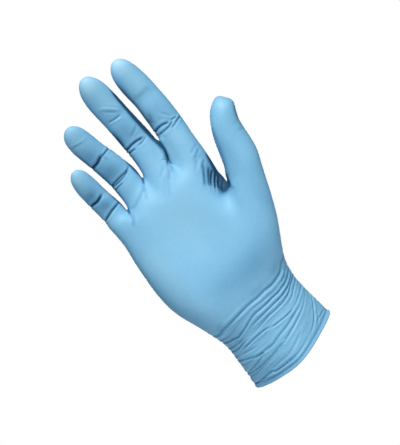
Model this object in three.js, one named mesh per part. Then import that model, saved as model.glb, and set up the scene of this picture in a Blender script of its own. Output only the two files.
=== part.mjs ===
// A nitrile exam glove in the form it takes on a right hand, palm to the front.
// The film is one dipped piece: cuff, palm, four fingers and a thumb, open at a rolled rim.
// +Z runs from the cuff to the fingertips, the palm faces -Y and the thumb is on the +X side.
// The origin is the centre of the opening that the wrist goes through.
// The skin is a net of rows: each row runs round the hand, and splits where the digits part.
import * as THREE from "three";

// Driving dimensions, in millimetres and degrees
const wall = 1;
const beadRadius = 1.5;
const cuffLength = 42;
const palmLength = 108;
const rimWidth = 70;
const rimDepth = 61;
const wristWidth = 65.5;
const wristDepth = 46;
const wristShift = -1.6;
const heelWidth = 101;
const palmDepth = 37;
const knuckleShift = -0.0775;
const forearmSetBack = 18.2;
const rimRoll = 9.8;
const rimPinch = 0.12;
const webGap = 0.8;
const foldHeight = 1;
const creaseDepth = 1.3;
const tipTaper = 0.16;
const tipCurl = 0.12;

// The four fingers, from the little-finger side to the thumb side. length is in millimetres,
// width is a share of the heel's width and depth a share of the palm's depth.
// web is how far the skin between this finger and the next one lies above the palm's top,
// root is the same for the finger's own foot, dome is the tip's height, and pip and dip are
// the creases as shares of the length. The three bends are degrees of lean towards the palm side,
// below pip, between the creases and above dip.
const fingers = [
  { name: "little", length: 42, width: 0.1723, depth: 0.432, dome: 11.5, root: -9, web: -8, pip: 0.11, dip: 0.4,
    bends: [4, 15, 25] },
  { name: "ring", length: 61, width: 0.202, depth: 0.497, dome: 12.5, root: -3, web: 3, pip: 0.22, dip: 0.52,
    bends: [1, 15, 24] },
  { name: "middle", length: 77, width: 0.2139, depth: 0.524, dome: 15.4, root: 1.4, web: 0, pip: 0.285,
    dip: 0.55, bends: [1, 12, 20] },
  { name: "index", length: 75.5, width: 0.2168, depth: 0.524, dome: 15.6, root: 0, web: 0, pip: 0.27,
    dip: 0.57, bends: [0, 9, 16] },
];

// The thumb: length is in millimetres, and foot is where it leaves the palm, as a share of the
// palm's length. width and reach, its foot's place to the side, are shares of the heel's width.
// depth and forward, its place in front of the palm's middle line, are shares of the palm's depth.
const thumb = { length: 49.5, width: 0.2594, depth: 0.6216, foot: 0.685, reach: 0.4673, forward: 0.216 };

for (const digit of [...fingers, thumb]) {
  digit.width *= heelWidth;
  digit.depth *= palmDepth;
}
thumb.reach *= heelWidth;
thumb.forward *= palmDepth;

// How each finger drifts sideways, as shares of its length, and its width, as shares of its width
const fingerOutlines = {
  little: [
    { up: 0, side: 0.02, wide: 1.02 },
    { up: 0.2, side: -0.01, wide: 0.99 },
    { up: 0.45, side: -0.05, wide: 0.94 },
    { up: 0.7, side: -0.083, wide: 0.93 },
    { up: 1, side: -0.09, wide: 0.9 },
  ],
  ring: [
    { up: 0, side: 0.01, wide: 1 },
    { up: 0.22, side: -0.003, wide: 1.01 },
    { up: 0.48, side: -0.06, wide: 0.985 },
    { up: 0.6, side: -0.095, wide: 0.94 },
    { up: 0.8, side: -0.143, wide: 0.935 },
    { up: 1, side: -0.16, wide: 0.93 },
  ],
  middle: [
    { up: 0, side: 0.008, wide: 0.98 },
    { up: 0.22, side: 0.012, wide: 1.01 },
    { up: 0.42, side: -0.004, wide: 0.99 },
    { up: 0.55, side: -0.014, wide: 0.965 },
    { up: 0.74, side: -0.034, wide: 0.985 },
    { up: 0.84, side: -0.042, wide: 0.955 },
    { up: 1, side: -0.048, wide: 0.94 },
  ],
  index: [
    { up: 0, side: 0, wide: 0.96 },
    { up: 0.24, side: 0.009, wide: 1 },
    { up: 0.4, side: 0.013, wide: 0.985 },
    { up: 0.56, side: 0.007, wide: 0.945 },
    { up: 0.72, side: -0.01, wide: 0.97 },
    { up: 0.82, side: -0.025, wide: 0.93 },
    { up: 1, side: -0.028, wide: 0.93 },
  ],
};

// The thumb seen from its side, nail to the right: shares of its length, width and depth
const thumbRows = [
  { up: 0.08, side: 0.02, wide: 1.065, deep: 1 },
  { up: 0.24, side: 0.059, wide: 1.005, deep: 0.98 },
  { up: 0.4, side: 0.087, wide: 0.93, deep: 0.97 },
  { up: 0.55, side: 0.108, wide: 0.86, deep: 0.98 },
  { up: 0.66, side: 0.15, wide: 0.85, deep: 1 },
  { up: 0.76, side: 0.197, wide: 0.83, deep: 0.96 },
  { up: 0.835, side: 0.233, wide: 0.79, deep: 0.86 },
  { up: 0.9, side: 0.235, wide: 0.6, deep: 0.72 },
  { up: 0.96, side: 0.252, wide: 0.35, deep: 0.5 },
  { up: 0.99, side: 0.262, wide: 0.16, deep: 0.26 },
];

// Cuff rows from the rim to the wrist. up is a share of the cuff's length, flare runs from the
// wrist's size at 0 to the rim's at 1, heel is how far the little-finger side stands out, as a
// share of the wrist's width, puff is a share of the fold height, and round is where the fold
// stands highest, as a share of the way from the thumb side over the palm to the other side.
const cuffRows = [
  { up: 0.08, flare: 1, heel: 0, puff: 0, round: 0 },
  { up: 0.14, flare: 0.97, heel: 0, puff: -0.3, round: 0.5 },
  { up: 0.2, flare: 0.88, heel: 0, puff: 0.5, round: 0.33 },
  { up: 0.26, flare: 0.78, heel: 0, puff: -0.9, round: 0.61 },
  { up: 0.32, flare: 0.65, heel: 0, puff: 0.7, round: 0.67 },
  { up: 0.38, flare: 0.5, heel: 0, puff: 0.1, round: 0.56 },
  { up: 0.44, flare: 0.38, heel: 0, puff: -1, round: 0.39 },
  { up: 0.5, flare: 0.26, heel: 0, puff: 0.6, round: 0.33 },
  { up: 0.56, flare: 0.18, heel: 0, puff: -0.4, round: 0.72 },
  { up: 0.62, flare: 0.1, heel: 0, puff: 0.9, round: 0.56 },
  { up: 0.68, flare: 0.05, heel: 0, puff: -1, round: 0.67 },
  { up: 0.74, flare: 0, heel: 0, puff: 0.6, round: 0.33 },
  { up: 0.8, flare: 0, heel: 0, puff: -0.9, round: 0.28 },
  { up: 0.86, flare: 0, heel: 0.004, puff: 0.9, round: 0.44 },
  { up: 0.92, flare: 0, heel: 0.016, puff: -0.9, round: 0.5 },
  { up: 0.98, flare: 0, heel: 0.036, puff: 0.2, round: 0.5 },
];

// Palm rows from the wrist to the thumb's foot and on to the fingers. up is a share of the palm's
// length, left and right are shares of the heel's width and thick a share of the palm's depth.
const heelRows = [
  { up: 0.06, left: 0.387, right: 0.311, thick: 1.2 },
  { up: 0.13, left: 0.418, right: 0.349, thick: 1.22 },
  { up: 0.2, left: 0.459, right: 0.387, thick: 1.22 },
  { up: 0.28, left: 0.493, right: 0.424, thick: 1.18 },
  { up: 0.37, left: 0.501, right: 0.47, thick: 1.12 },
  { up: 0.46, left: 0.502, right: 0.508, thick: 1.05 },
  { up: 0.55, left: 0.498, right: 0.542, thick: 0.98 },
  { up: 0.62, left: 0.494, right: 0.57, thick: 0.93 },
];
const upperRows = [
  { up: 0.74, left: 0.479, right: 0.319, thick: 0.83 },
  { up: 0.81, left: 0.477, right: 0.32, thick: 0.75 },
  { up: 0.875, left: 0.479, right: 0.323, thick: 0.67 },
];

// Where the front of the palm stands out or falls in. across and up place the middle, as shares
// of the heel's width and the palm's length, wide and tall are its reach in the same shares, and
// out is how far it stands out, as a share of the palm's depth.
const palmRelief = [
  { name: "little finger heel", across: -0.3, up: 0.25, wide: 0.15, tall: 0.26, out: 0.13 },
  { name: "hollow of the palm", across: -0.06, up: 0.52, wide: 0.17, tall: 0.2, out: -0.1 },
  { name: "pads under the fingers", across: -0.12, up: 0.82, wide: 0.3, tall: 0.1, out: 0.06 },
  { name: "pocket beside the thumb", across: 0.29, up: 0.71, wide: 0.075, tall: 0.1, out: -0.22 },
];

// The thumb's lobe in the heel of the hand: its size at the wrist, as shares of the heel's width
// and the palm's depth, how far forward it lies there, as a share of the thumb's, how softly it
// blends into the palm, as a share of the palm's depth, and how steeply it falls away beside itself
const lobeAtWrist = { half: 0.2, thick: 0.42, forward: 0.6 };
const lobeJoin = { from: 0.1, to: 0.3 };
const lobeBlend = 0.135;
const lobeFall = 2.5;

// The net: columns over each digit, crease rows and tip rows of a finger, and how square the
// sections are. footRise is how far the knuckle row dips below the webs, as a share of the palm.
const digitAngles = [150, 120, 90, 60, 30];
const digitColumns = digitAngles.length - 1;
const tipSteps = 4;
const tipRise = 0.012;
const creaseSpread = 0.036;
const fingerSquareness = 2.2;
const palmSquareness = 2.7;
const reliefFade = 1.6;
const settleShare = 0.55;
const footRise = 0.035;
const radians = THREE.MathUtils.degToRad;

// A value read from a table at a place along it, running smoothly through its rows
function readTable(rows, up, column) {
  let upper = rows.findIndex((row) => row.up >= up);
  if (upper < 0) upper = rows.length - 1;
  if (upper === 0) return rows[0][column];
  const a = rows[upper - 1];
  const b = rows[upper];
  const before = rows[Math.max(upper - 2, 0)];
  const after = rows[Math.min(upper + 1, rows.length - 1)];
  const span = b.up - a.up;
  const t = THREE.MathUtils.clamp((up - a.up) / span, 0, 1);
  const slopeA = ((b[column] - before[column]) / Math.max(b.up - before.up, 1e-6)) * span;
  const slopeB = ((after[column] - a[column]) / Math.max(after.up - a.up, 1e-6)) * span;
  const t2 = t * t;
  const t3 = t2 * t;
  return (
    (2 * t3 - 3 * t2 + 1) * a[column] +
    (t3 - 2 * t2 + t) * slopeA +
    (3 * t2 - 2 * t3) * b[column] +
    (t3 - t2) * slopeB
  );
}

// The rounded shape of a flat section: half its thickness at a place across it, from -1 to 1
function roundOff(across, squareness) {
  const inside = Math.max(0, 1 - Math.abs(across) ** squareness);
  return inside ** (1 / squareness);
}

function smoothMax(a, b, blend) {
  return (a + b + Math.hypot(a - b, blend)) / 2;
}

function bump(distance) {
  return Math.exp(-distance * distance);
}

// The skin's points and four-sided faces
const points = [];
const faces = [];

function addPoint(x, y, z) {
  points.push(new THREE.Vector3(x, y, z));
  return points.length - 1;
}

function addFace(a, b, c, d) {
  faces.push([a, b, c, d]);
}

// A row's points in order round the hand: little-finger side, front, thumb side, back
function loop(row) {
  return [row.left, ...row.front, row.right, ...[...row.back].reverse()];
}

// Skin between two rows with as many points, the upper one further from the rim
function joinRows(lower, upper) {
  const a = loop(lower);
  const b = loop(upper);
  a.forEach((_, i) => {
    const next = (i + 1) % a.length;
    addFace(a[i], a[next], b[next], b[i]);
  });
}

// Parts a row into blocks of columns with one column of skin between neighbours.
// halfway gives the point between front and back on each side of that skin.
function splitRow(row, blockColumns, halfway) {
  const blocks = [];
  let first = 0;
  let left = row.left;
  blockColumns.forEach((columns, k) => {
    const last = first + columns;
    const isLast = k === blockColumns.length - 1;
    const right = isLast ? row.right : halfway(k, last, 1);
    blocks.push({
      left,
      right,
      front: row.front.slice(first, last + 1),
      back: row.back.slice(first, last + 1),
    });
    if (!isLast) {
      const nextLeft = halfway(k, last + 1, -1);
      addFace(row.front[last], row.front[last + 1], nextLeft, right);
      addFace(right, nextLeft, row.back[last + 1], row.back[last]);
      left = nextLeft;
    }
    first = last + 1;
  });
  return blocks;
}

// Closes a digit's last row with a middle line of points from side to side
function closeTip(row, rise) {
  const inner = row.front.slice(1, -1).map((frontPoint, i) => {
    const middle = points[frontPoint].clone().add(points[row.back[i + 1]]).multiplyScalar(0.5);
    return addPoint(middle.x, middle.y, middle.z + rise);
  });
  const line = [row.left, ...inner, row.right];
  for (let i = 0; i < digitColumns; i++) {
    addFace(row.front[i], row.front[i + 1], line[i + 1], line[i]);
    addFace(line[i], line[i + 1], row.back[i + 1], row.back[i]);
  }
}

// The hand's middle line: how far back it lies, and how its sections lean and roll, at a height.
// The forearm runs back from the hand, so the rim's front lies lower than its back.
const settleHeight = settleShare * (cuffLength + palmLength);
function middleLine(z) {
  const left = Math.max(0, 1 - z / (settleHeight + cuffLength / 2));
  const lean = Math.atan(((2 * forearmSetBack) / (settleHeight + cuffLength / 2)) * left);
  const roll = radians(rimRoll) * (1 - THREE.MathUtils.smoothstep(z, 0.75 * cuffLength, settleHeight));
  return { y: forearmSetBack * (left * left - 1), lean, roll };
}

// A point of a section: x across, out behind the middle line, on the section's leaning plane
function placeOnSection(x, behind, z) {
  const line = middleLine(z);
  const rise = x * Math.tan(line.roll) + behind * Math.sin(line.lean);
  return [x, line.y + behind * Math.cos(line.lean), z + rise];
}

// Sideways places of the fingers on the palm's top, stacked from their widths
const knuckleWidth = fingers.reduce((sum, f) => sum + f.width, webGap * (fingers.length - 1));
const knuckleCentre = knuckleShift * heelWidth;
let stacked = knuckleCentre - knuckleWidth / 2;
for (const finger of fingers) {
  finger.x = stacked + finger.width / 2;
  stacked += finger.width + webGap;
}
const palmTop = cuffLength + palmLength;
const thumbFootHeight = cuffLength + thumb.foot * palmLength;
const knuckleY = middleLine(palmTop).y;
const palmEdge = heelWidth * upperRows[0].right;

// Column places across the palm's top, from -1 to 1 of half its width
const knuckleColumns = fingers.flatMap((finger) =>
  digitAngles.map((angle) => {
    const x = finger.x + (finger.width / 2) * Math.cos(radians(angle));
    return (x - knuckleCentre) / (knuckleWidth / 2);
  }),
);
const columnCount = knuckleColumns.length + digitAngles.length;

// The thumb's lobe in the heel of the hand, swelling from the wrist towards the thumb's foot
function thumbLobe(up, right) {
  const t = THREE.MathUtils.clamp(up / thumb.foot, 0, 1);
  const half = THREE.MathUtils.lerp(lobeAtWrist.half * heelWidth, thumb.width / 2, t ** 1.5);
  return {
    x: right - half,
    half,
    forward: THREE.MathUtils.lerp(lobeAtWrist.forward, 1, t) * thumb.forward,
    thick: THREE.MathUtils.lerp(lobeAtWrist.thick * palmDepth, thumb.depth / 2, t),
  };
}

function reliefAt(x, up) {
  return palmRelief.reduce((sum, r) => {
    const across = (x / heelWidth - r.across) / r.wide;
    return sum + r.out * palmDepth * bump(Math.hypot(across, (up - r.up) / r.tall));
  }, 0);
}

// Adds one row of the palm. places are the columns' x, and the thumb's lobe joins in below its foot.
function addPalmRow({ up, left, right, thick }, places, palmRight, withThumb) {
  const z = cuffLength + up * palmLength;
  const centre = (left + palmRight) / 2;
  const half = (palmRight - left) / 2;
  const lobe = thumbLobe(up, right);
  const join = THREE.MathUtils.smoothstep(up, 0, lobeJoin.to);
  const halfDepth = (thick * palmDepth) / 2;
  const extent = (x, side) => {
    const palm = halfDepth * roundOff((x - centre) / half, palmSquareness);
    if (!withThumb) return palm;
    const shape = lobe.thick * roundOff((x - lobe.x) / lobe.half, fingerSquareness);
    const beyond = Math.max(0, Math.abs(x - lobe.x) - lobe.half);
    const ball = shape - side * lobe.forward - lobeFall * beyond;
    const soft = lobeBlend * palmDepth * THREE.MathUtils.smoothstep(Math.min(palm, shape), 0, halfDepth / 2);
    return THREE.MathUtils.lerp(palm, smoothMax(palm, ball, soft), join);
  };
  const middleOfLobe = withThumb ? -join * lobe.forward : 0;
  const fade = (x) => Math.min(1, reliefFade * roundOff((x - centre) / half, palmSquareness));
  const put = (x, behind) => addPoint(...placeOnSection(x, behind, z));
  return {
    left: put(left, 0),
    front: places.map((x) => put(x, -extent(x, -1) - fade(x) * reliefAt(x, up))),
    right: put(right, middleOfLobe),
    back: places.map((x) => put(x, extent(x, 1))),
  };
}

// Even spacing round a section, for the cuff and wrist. The flared rim is pinched at its two sides,
// where rimPinch is 0 for an oval and 1 for a section with straight sides and sharp corners.
const roundAngles = Array.from({ length: columnCount }, (_, i) => {
  return Math.PI * (1 - (i + 1) / (columnCount + 1));
});
const roundColumns = roundAngles.map((angle) => Math.cos(angle));

function addCuffRow({ up, flare, heel, puff, round }) {
  const z = up * cuffLength;
  const halfWidth = THREE.MathUtils.lerp(wristWidth, rimWidth, flare) / 2;
  const halfDepth = THREE.MathUtils.lerp(wristDepth, rimDepth, flare) / 2;
  const centre = wristShift * (1 - flare);
  const pinched = (share) => Math.sign(share) * Math.abs(share) ** (1 + rimPinch * flare);
  const at = (angle) => {
    const swell = puff * foldHeight * (0.6 + 0.4 * Math.cos(angle - Math.PI * round));
    const side = halfWidth + swell + (Math.cos(angle) < 0 ? heel * wristWidth : 0);
    const x = centre + side * pinched(Math.cos(angle));
    return addPoint(...placeOnSection(x, -(halfDepth + swell) * pinched(Math.sin(angle)), z));
  };
  return {
    left: at(Math.PI),
    front: roundAngles.map((angle) => at(angle)),
    right: at(0),
    back: roundAngles.map((angle) => at(-angle)),
  };
}

// The middle line of a finger, leaning forwards by its three bends
function fingerForward(finger, up) {
  const joints = [0, finger.pip, finger.dip, 1];
  return finger.bends.reduce((sum, bend, i) => {
    const run = THREE.MathUtils.clamp(up, joints[i], joints[i + 1]) - joints[i];
    return sum + run * finger.length * Math.tan(radians(bend));
  }, 0);
}

// The heights of a finger's rows: three at each crease, evenly between, and a rounded tip
function fingerHeights(finger) {
  const domeStart = 1 - finger.dome / finger.length;
  const crease = (at) => [at - creaseSpread, at, at + creaseSpread];
  const between = (a, b, count) =>
    Array.from({ length: count }, (_, i) => a + ((b - a) * (i + 1)) / (count + 1));
  const pip = crease(finger.pip);
  const dip = crease(finger.dip);
  const lowRows = finger.pip > 4 * creaseSpread ? between(0, pip[0], 2) : [];
  return [
    ...lowRows,
    ...pip,
    ...between(pip[2], dip[0], 1),
    ...dip,
    ...between(dip[2], domeStart, 1),
    ...Array.from({ length: tipSteps }, (_, i) => {
      const rise = Math.sin((Math.PI / 2) * (i / tipSteps) ** 0.85);
      return domeStart + (1 - domeStart) * rise;
    }),
  ];
}

// A digit's row from a function that gives its point at an angle round it
function digitRow(at) {
  return {
    left: at(180),
    front: digitAngles.map((angle) => at(angle)),
    right: at(0),
    back: digitAngles.map((angle) => at(-angle)),
  };
}

// How high the skin lies at a finger's foot, from one side of it to the other
function webSlope(finger, across) {
  const k = fingers.indexOf(finger);
  const lower = k > 0 ? fingers[k - 1].web : finger.root;
  const upper = k < fingers.length - 1 ? finger.web : finger.root;
  return THREE.MathUtils.lerp(lower, upper, (1 + across) / 2);
}

// How a finger's own line leans sideways at a place along it
function sidewaysLean(outline, up) {
  const above = Math.min(up + creaseSpread / 2, 1);
  const under = Math.max(up - creaseSpread / 2, 0);
  const drift = readTable(outline, above, "side") - readTable(outline, under, "side");
  return -Math.atan(drift / (above - under));
}

function addFinger(finger, base) {
  const root = palmTop + finger.root;
  const domeStart = 1 - finger.dome / finger.length;
  const outline = fingerOutlines[finger.name];
  let row = base;
  for (const up of fingerHeights(finger)) {
    const dome = Math.max(0, (up - domeStart) / (1 - domeStart));
    const closing = Math.sqrt(1 - dome * dome);
    const x = finger.x + readTable(outline, up, "side") * finger.length;
    const half = (finger.width / 2) * readTable(outline, up, "wide") * closing;
    const slim = 1 - tipTaper * THREE.MathUtils.smoothstep(up, finger.pip, 1);
    const thick = (finger.depth / 2) * slim * closing;
    const y = knuckleY - fingerForward(finger, up) - tipCurl * finger.depth * dome;
    const creases = [finger.pip, finger.dip].map((at) => bump((up - at) / creaseSpread));
    const pinch = creaseDepth * Math.max(...creases);
    const lean = sidewaysLean(outline, up);
    const foot = 1 - THREE.MathUtils.smoothstep(up * finger.length, 0, finger.width);
    const at = (angle) => {
      const across = Math.cos(radians(angle));
      const rounded = thick * roundOff(across, fingerSquareness);
      const front = Math.sin(radians(angle)) > 0;
      const inwards = pinch * (front ? 1 : 0.3) * roundOff(across, 2);
      const lift = foot * (webSlope(finger, across) - finger.root);
      const tilt = half * across * Math.cos(lean) * Math.sin(lean);
      return addPoint(
        x + half * across * Math.cos(lean) ** 2,
        y - (front ? 1 : -1) * (rounded - inwards),
        root + up * finger.length + tilt + lift,
      );
    };
    const next = digitRow(at);
    joinRows(row, next);
    row = next;
  }
  closeTip(row, tipRise * finger.length);
}

function addThumb(base) {
  const y = middleLine(thumbFootHeight).y - thumb.forward;
  let row = base;
  for (const { up, side, wide, deep } of thumbRows) {
    const at = (angle) => {
      const across = Math.cos(radians(angle));
      const front = Math.sin(radians(angle)) > 0;
      const thick = (thumb.depth / 2) * deep * roundOff(across, fingerSquareness);
      return addPoint(
        thumb.reach + side * thumb.length + (thumb.width / 2) * wide * across,
        y - (front ? 1 : -1) * thick,
        thumbFootHeight + up * thumb.length,
      );
    };
    const next = digitRow(at);
    joinRows(row, next);
    row = next;
  }
  closeTip(row, tipRise * thumb.length);
}

// Places of all columns on a heel row: even round the wrist, gathered under the digits at the top
function heelPlaces({ up, left, right }) {
  const palmLeft = -left * heelWidth;
  const palmCentre = (palmEdge + palmLeft) / 2;
  const palmHalf = (palmEdge - palmLeft) / 2;
  const lobeHalf = (right * heelWidth - palmEdge - webGap) / 2;
  const gathered = [
    ...knuckleColumns.map((c) => palmCentre + c * palmHalf),
    ...digitAngles.map((angle) => right * heelWidth - lobeHalf * (1 - Math.cos(radians(angle)))),
  ];
  const centre = ((right - left) * heelWidth) / 2;
  const half = ((right + left) * heelWidth) / 2;
  const t = THREE.MathUtils.smoothstep(up, 0, thumb.foot);
  return gathered.map((x, i) => THREE.MathUtils.lerp(centre + roundColumns[i] * half, x, t));
}

// The net from the rim upwards
const cuffNet = cuffRows.map(addCuffRow);
cuffNet.slice(1).forEach((row, i) => joinRows(cuffNet[i], row));
let below = cuffNet[cuffNet.length - 1];

function addHeelRow(row) {
  const right = row.right * heelWidth;
  const t = THREE.MathUtils.smoothstep(row.up, lobeJoin.from, thumb.foot);
  const palmRight = THREE.MathUtils.lerp(right, palmEdge, t);
  return addPalmRow({ ...row, left: -row.left * heelWidth, right }, heelPlaces(row), palmRight, true);
}

for (const row of heelRows) {
  const next = addHeelRow(row);
  joinRows(below, next);
  below = next;
}

// The row where the thumb parts from the palm
const footRight = (thumb.reach + thumb.width / 2) / heelWidth;
const footNet = addHeelRow({ up: thumb.foot, left: 0.486, right: footRight, thick: 0.89 });
joinRows(below, footNet);
const palmColumns = knuckleColumns.length - 1;
const [palmBase, thumbBase] = splitRow(footNet, [palmColumns, digitColumns], (_, column, side) => {
  const front = points[footNet.front[column]];
  const back = points[footNet.back[column]];
  return addPoint(front.x + side * webGap, (front.y + back.y) / 2, (front.z + back.z) / 2 + 2 * webGap);
});
addThumb(thumbBase);

below = palmBase;
for (const row of upperRows) {
  const t = THREE.MathUtils.smoothstep(row.up, thumb.foot, 1);
  const centre = THREE.MathUtils.lerp(((row.right - row.left) * heelWidth) / 2, knuckleCentre, t);
  const half = THREE.MathUtils.lerp(((row.right + row.left) * heelWidth) / 2, knuckleWidth / 2, t);
  const places = knuckleColumns.map((c) => centre + c * half);
  const sides = { left: centre - half, right: centre + half };
  const next = addPalmRow({ ...row, ...sides }, places, sides.right, false);
  joinRows(below, next);
  below = next;
}

// The knuckle row, whose points follow each finger's own foot and the skin between them
function webHeight(k) {
  return palmTop + fingers[k].web;
}
const footDrop = footRise * palmLength;
const footOf = (finger, angle) => {
  const drop = footDrop * (1 - 0.5 * Math.sin(radians(angle)) ** 2);
  return palmTop + webSlope(finger, Math.cos(radians(angle))) - drop;
};
const knuckleRow = (side) =>
  fingers.flatMap((finger) =>
    digitAngles.map((angle) => {
      const x = finger.x + (finger.width / 2) * Math.cos(radians(angle));
      const thick = (finger.depth / 2) * roundOff(Math.cos(radians(angle)), fingerSquareness);
      return addPoint(x, knuckleY + side * thick, footOf(finger, angle));
    }),
  );
const knuckleNet = {
  left: addPoint(knuckleCentre - knuckleWidth / 2, knuckleY, footOf(fingers[0], 180)),
  front: knuckleRow(-1),
  right: addPoint(knuckleCentre + knuckleWidth / 2, knuckleY, footOf(fingers[3], 0)),
  back: knuckleRow(1),
};
joinRows(below, knuckleNet);
const fingerBases = splitRow(
  knuckleNet,
  fingers.map(() => digitColumns),
  (k, column, side) => {
    const owner = fingers[side > 0 ? k : k + 1];
    return addPoint(owner.x + (side * owner.width) / 2, knuckleY, webHeight(k));
  },
);
fingers.forEach((finger, k) => addFinger(finger, fingerBases[k]));

// Each point's outward direction, from the faces round it
const outwards = points.map(() => new THREE.Vector3());
for (const [a, b, c, d] of faces) {
  const normal = points[c].clone().sub(points[a]).cross(points[d].clone().sub(points[b]));
  for (const corner of [a, b, c, d]) outwards[corner].add(normal.clone().normalize());
}
outwards.forEach((normal) => normal.normalize());

// The inside of the film: the same net, one wall further in, with its faces turned round
const outsideCount = points.length;
const outsideFaces = faces.slice();
for (let i = 0; i < outsideCount; i++) {
  const inner = points[i].clone().addScaledVector(outwards[i], -wall);
  points.push(inner);
}
for (const [a, b, c, d] of outsideFaces) {
  addFace(d + outsideCount, c + outsideCount, b + outsideCount, a + outsideCount);
}

// The rolled rim: rows round a small circle, from the film's outside to its inside
const rimLoop = loop(cuffNet[0]);
const beadAngles = [60, 10, -40, -90, -140, -190, -240];
const rim = middleLine(0);
const downwards = new THREE.Vector3(
  Math.sin(rim.roll) * Math.cos(rim.lean),
  Math.cos(rim.roll) * Math.sin(rim.lean),
  -Math.cos(rim.roll) * Math.cos(rim.lean),
);
const beadDrop = cuffRows[0].up * cuffLength - beadRadius;
let beadRow = rimLoop;
for (const angle of beadAngles) {
  const aside = beadRadius * Math.cos(radians(angle)) - wall / 2;
  const drop = beadDrop - beadRadius * Math.sin(radians(angle));
  const next = rimLoop.map((corner) => {
    const out = outwards[corner].clone();
    out.addScaledVector(downwards, -out.dot(downwards)).normalize();
    const place = points[corner].clone().addScaledVector(out, aside).addScaledVector(downwards, drop);
    return addPoint(place.x, place.y, place.z);
  });
  beadRow.forEach((_, i) => {
    const n = (i + 1) % beadRow.length;
    addFace(beadRow[i], next[i], next[n], beadRow[n]);
  });
  beadRow = next;
}
const innerLoop = rimLoop.map((corner) => corner + outsideCount);
beadRow.forEach((_, i) => {
  const n = (i + 1) % beadRow.length;
  addFace(beadRow[i], innerLoop[i], innerLoop[n], beadRow[n]);
});

// Two triangles to a face, split along its shorter diagonal
function triangles() {
  return faces.flatMap(([a, b, c, d]) => {
    const short = points[a].distanceTo(points[c]) <= points[b].distanceTo(points[d]);
    return short ? [a, b, c, a, c, d] : [a, b, d, b, c, d];
  });
}

const geometry = new THREE.BufferGeometry();
const coordinates = points.flatMap((point) => point.toArray());
geometry.setAttribute("position", new THREE.Float32BufferAttribute(coordinates, 3));
geometry.setIndex(triangles());
geometry.computeVertexNormals();

const nitrile = new THREE.MeshStandardMaterial({ color: 0x7db9e0, roughness: 0.45, metalness: 0 });
const film = new THREE.Mesh(geometry, nitrile);
film.name = "glove";

const glove = new THREE.Group();
glove.add(film);

export default glove;
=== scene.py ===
"""Finishes a nitrile exam glove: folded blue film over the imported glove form, on a pale stage."""

import math

import bmesh
import bpy
import numpy as np
from bpy.props import FloatProperty, FloatVectorProperty, PointerProperty
from mathutils import Matrix, Vector, noise


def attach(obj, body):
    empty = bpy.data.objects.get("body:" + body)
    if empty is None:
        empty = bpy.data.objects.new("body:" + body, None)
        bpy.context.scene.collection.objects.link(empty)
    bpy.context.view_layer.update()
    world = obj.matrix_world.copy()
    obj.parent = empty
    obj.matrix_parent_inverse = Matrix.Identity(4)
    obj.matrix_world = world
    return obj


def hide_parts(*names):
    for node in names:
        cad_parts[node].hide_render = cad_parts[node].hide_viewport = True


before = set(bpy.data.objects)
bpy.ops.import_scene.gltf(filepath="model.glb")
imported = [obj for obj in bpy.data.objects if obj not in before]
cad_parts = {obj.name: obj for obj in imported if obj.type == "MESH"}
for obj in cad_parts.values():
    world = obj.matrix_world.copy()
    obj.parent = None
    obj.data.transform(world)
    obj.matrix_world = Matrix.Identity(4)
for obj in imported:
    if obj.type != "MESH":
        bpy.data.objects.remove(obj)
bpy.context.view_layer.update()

bl_info = {
    "name": "Nitrile exam glove",
    "version": (1, 0, 0),
    "blender": (4, 5, 0),
    "location": "View3D > Sidebar > Glove",
    "description": "Makes the folded film of a nitrile exam glove and the stage it is shown on",
    "category": "Object",
}

MM = 0.001

# The plane of the rolled rim: its direction towards the fingers, and the height where its bead ends, in mm
RIM_UP = Vector((-0.1608, -0.3267, 0.9313)).normalized()
BEAD_HEIGHT = 3.9

# The sleeve, in mm: how far its middle comes forward between the rim and the palm, how high that is, and
# how far its middle lies left of the rim's. Then its depth as a share of its width.
SLEEVE_FORWARD = 18.2
SLEEVE_HEIGHT = 103.5
SLEEVE_LEFT = 1.6
SLEEVE_DEPTH = 0.8
MM_PER_DEGREE = 0.56

# Painted shade in a crease, a cuff fold and the rim's groove for their depth, and painted highlight on a
# raised fold
CREASE_SHADE = 0.8
RAISED_HIGHLIGHT = 0.6
CUFF_SHADE = 0.35
GROOVE_SHADE = 0.45

# The film's colour in its darker and its lighter clouds, as shares of the film colour
DARK_CLOUD = (0.86, 0.92, 0.95)
LIGHT_CLOUD = (1.12, 1.06, 1.04)

# The point that the camera and the lights look at, and each light's place and size, in metres
AIM = Vector((0.00164, -0.020, 0.1052))
KEY_PLACE = (0.32, -1.20, 1.56)
KEY_SIZE = 0.9
KEY_COLOUR = (1.0, 0.99, 0.97)
BACK_PLACE = (0.0, 1.95, 0.12)
BACK_SIZE = 1.0
BACK_COLOUR = (0.9, 0.95, 1.0)
BACK_SHARE = 0.6
SENSOR_WIDTH = 36.0

# Where a Mix node's colour sockets stand in its lists, as its number sockets have the same names
MIX_FIRST = 6
MIX_SECOND = 7
MIX_RESULT = 2

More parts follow.
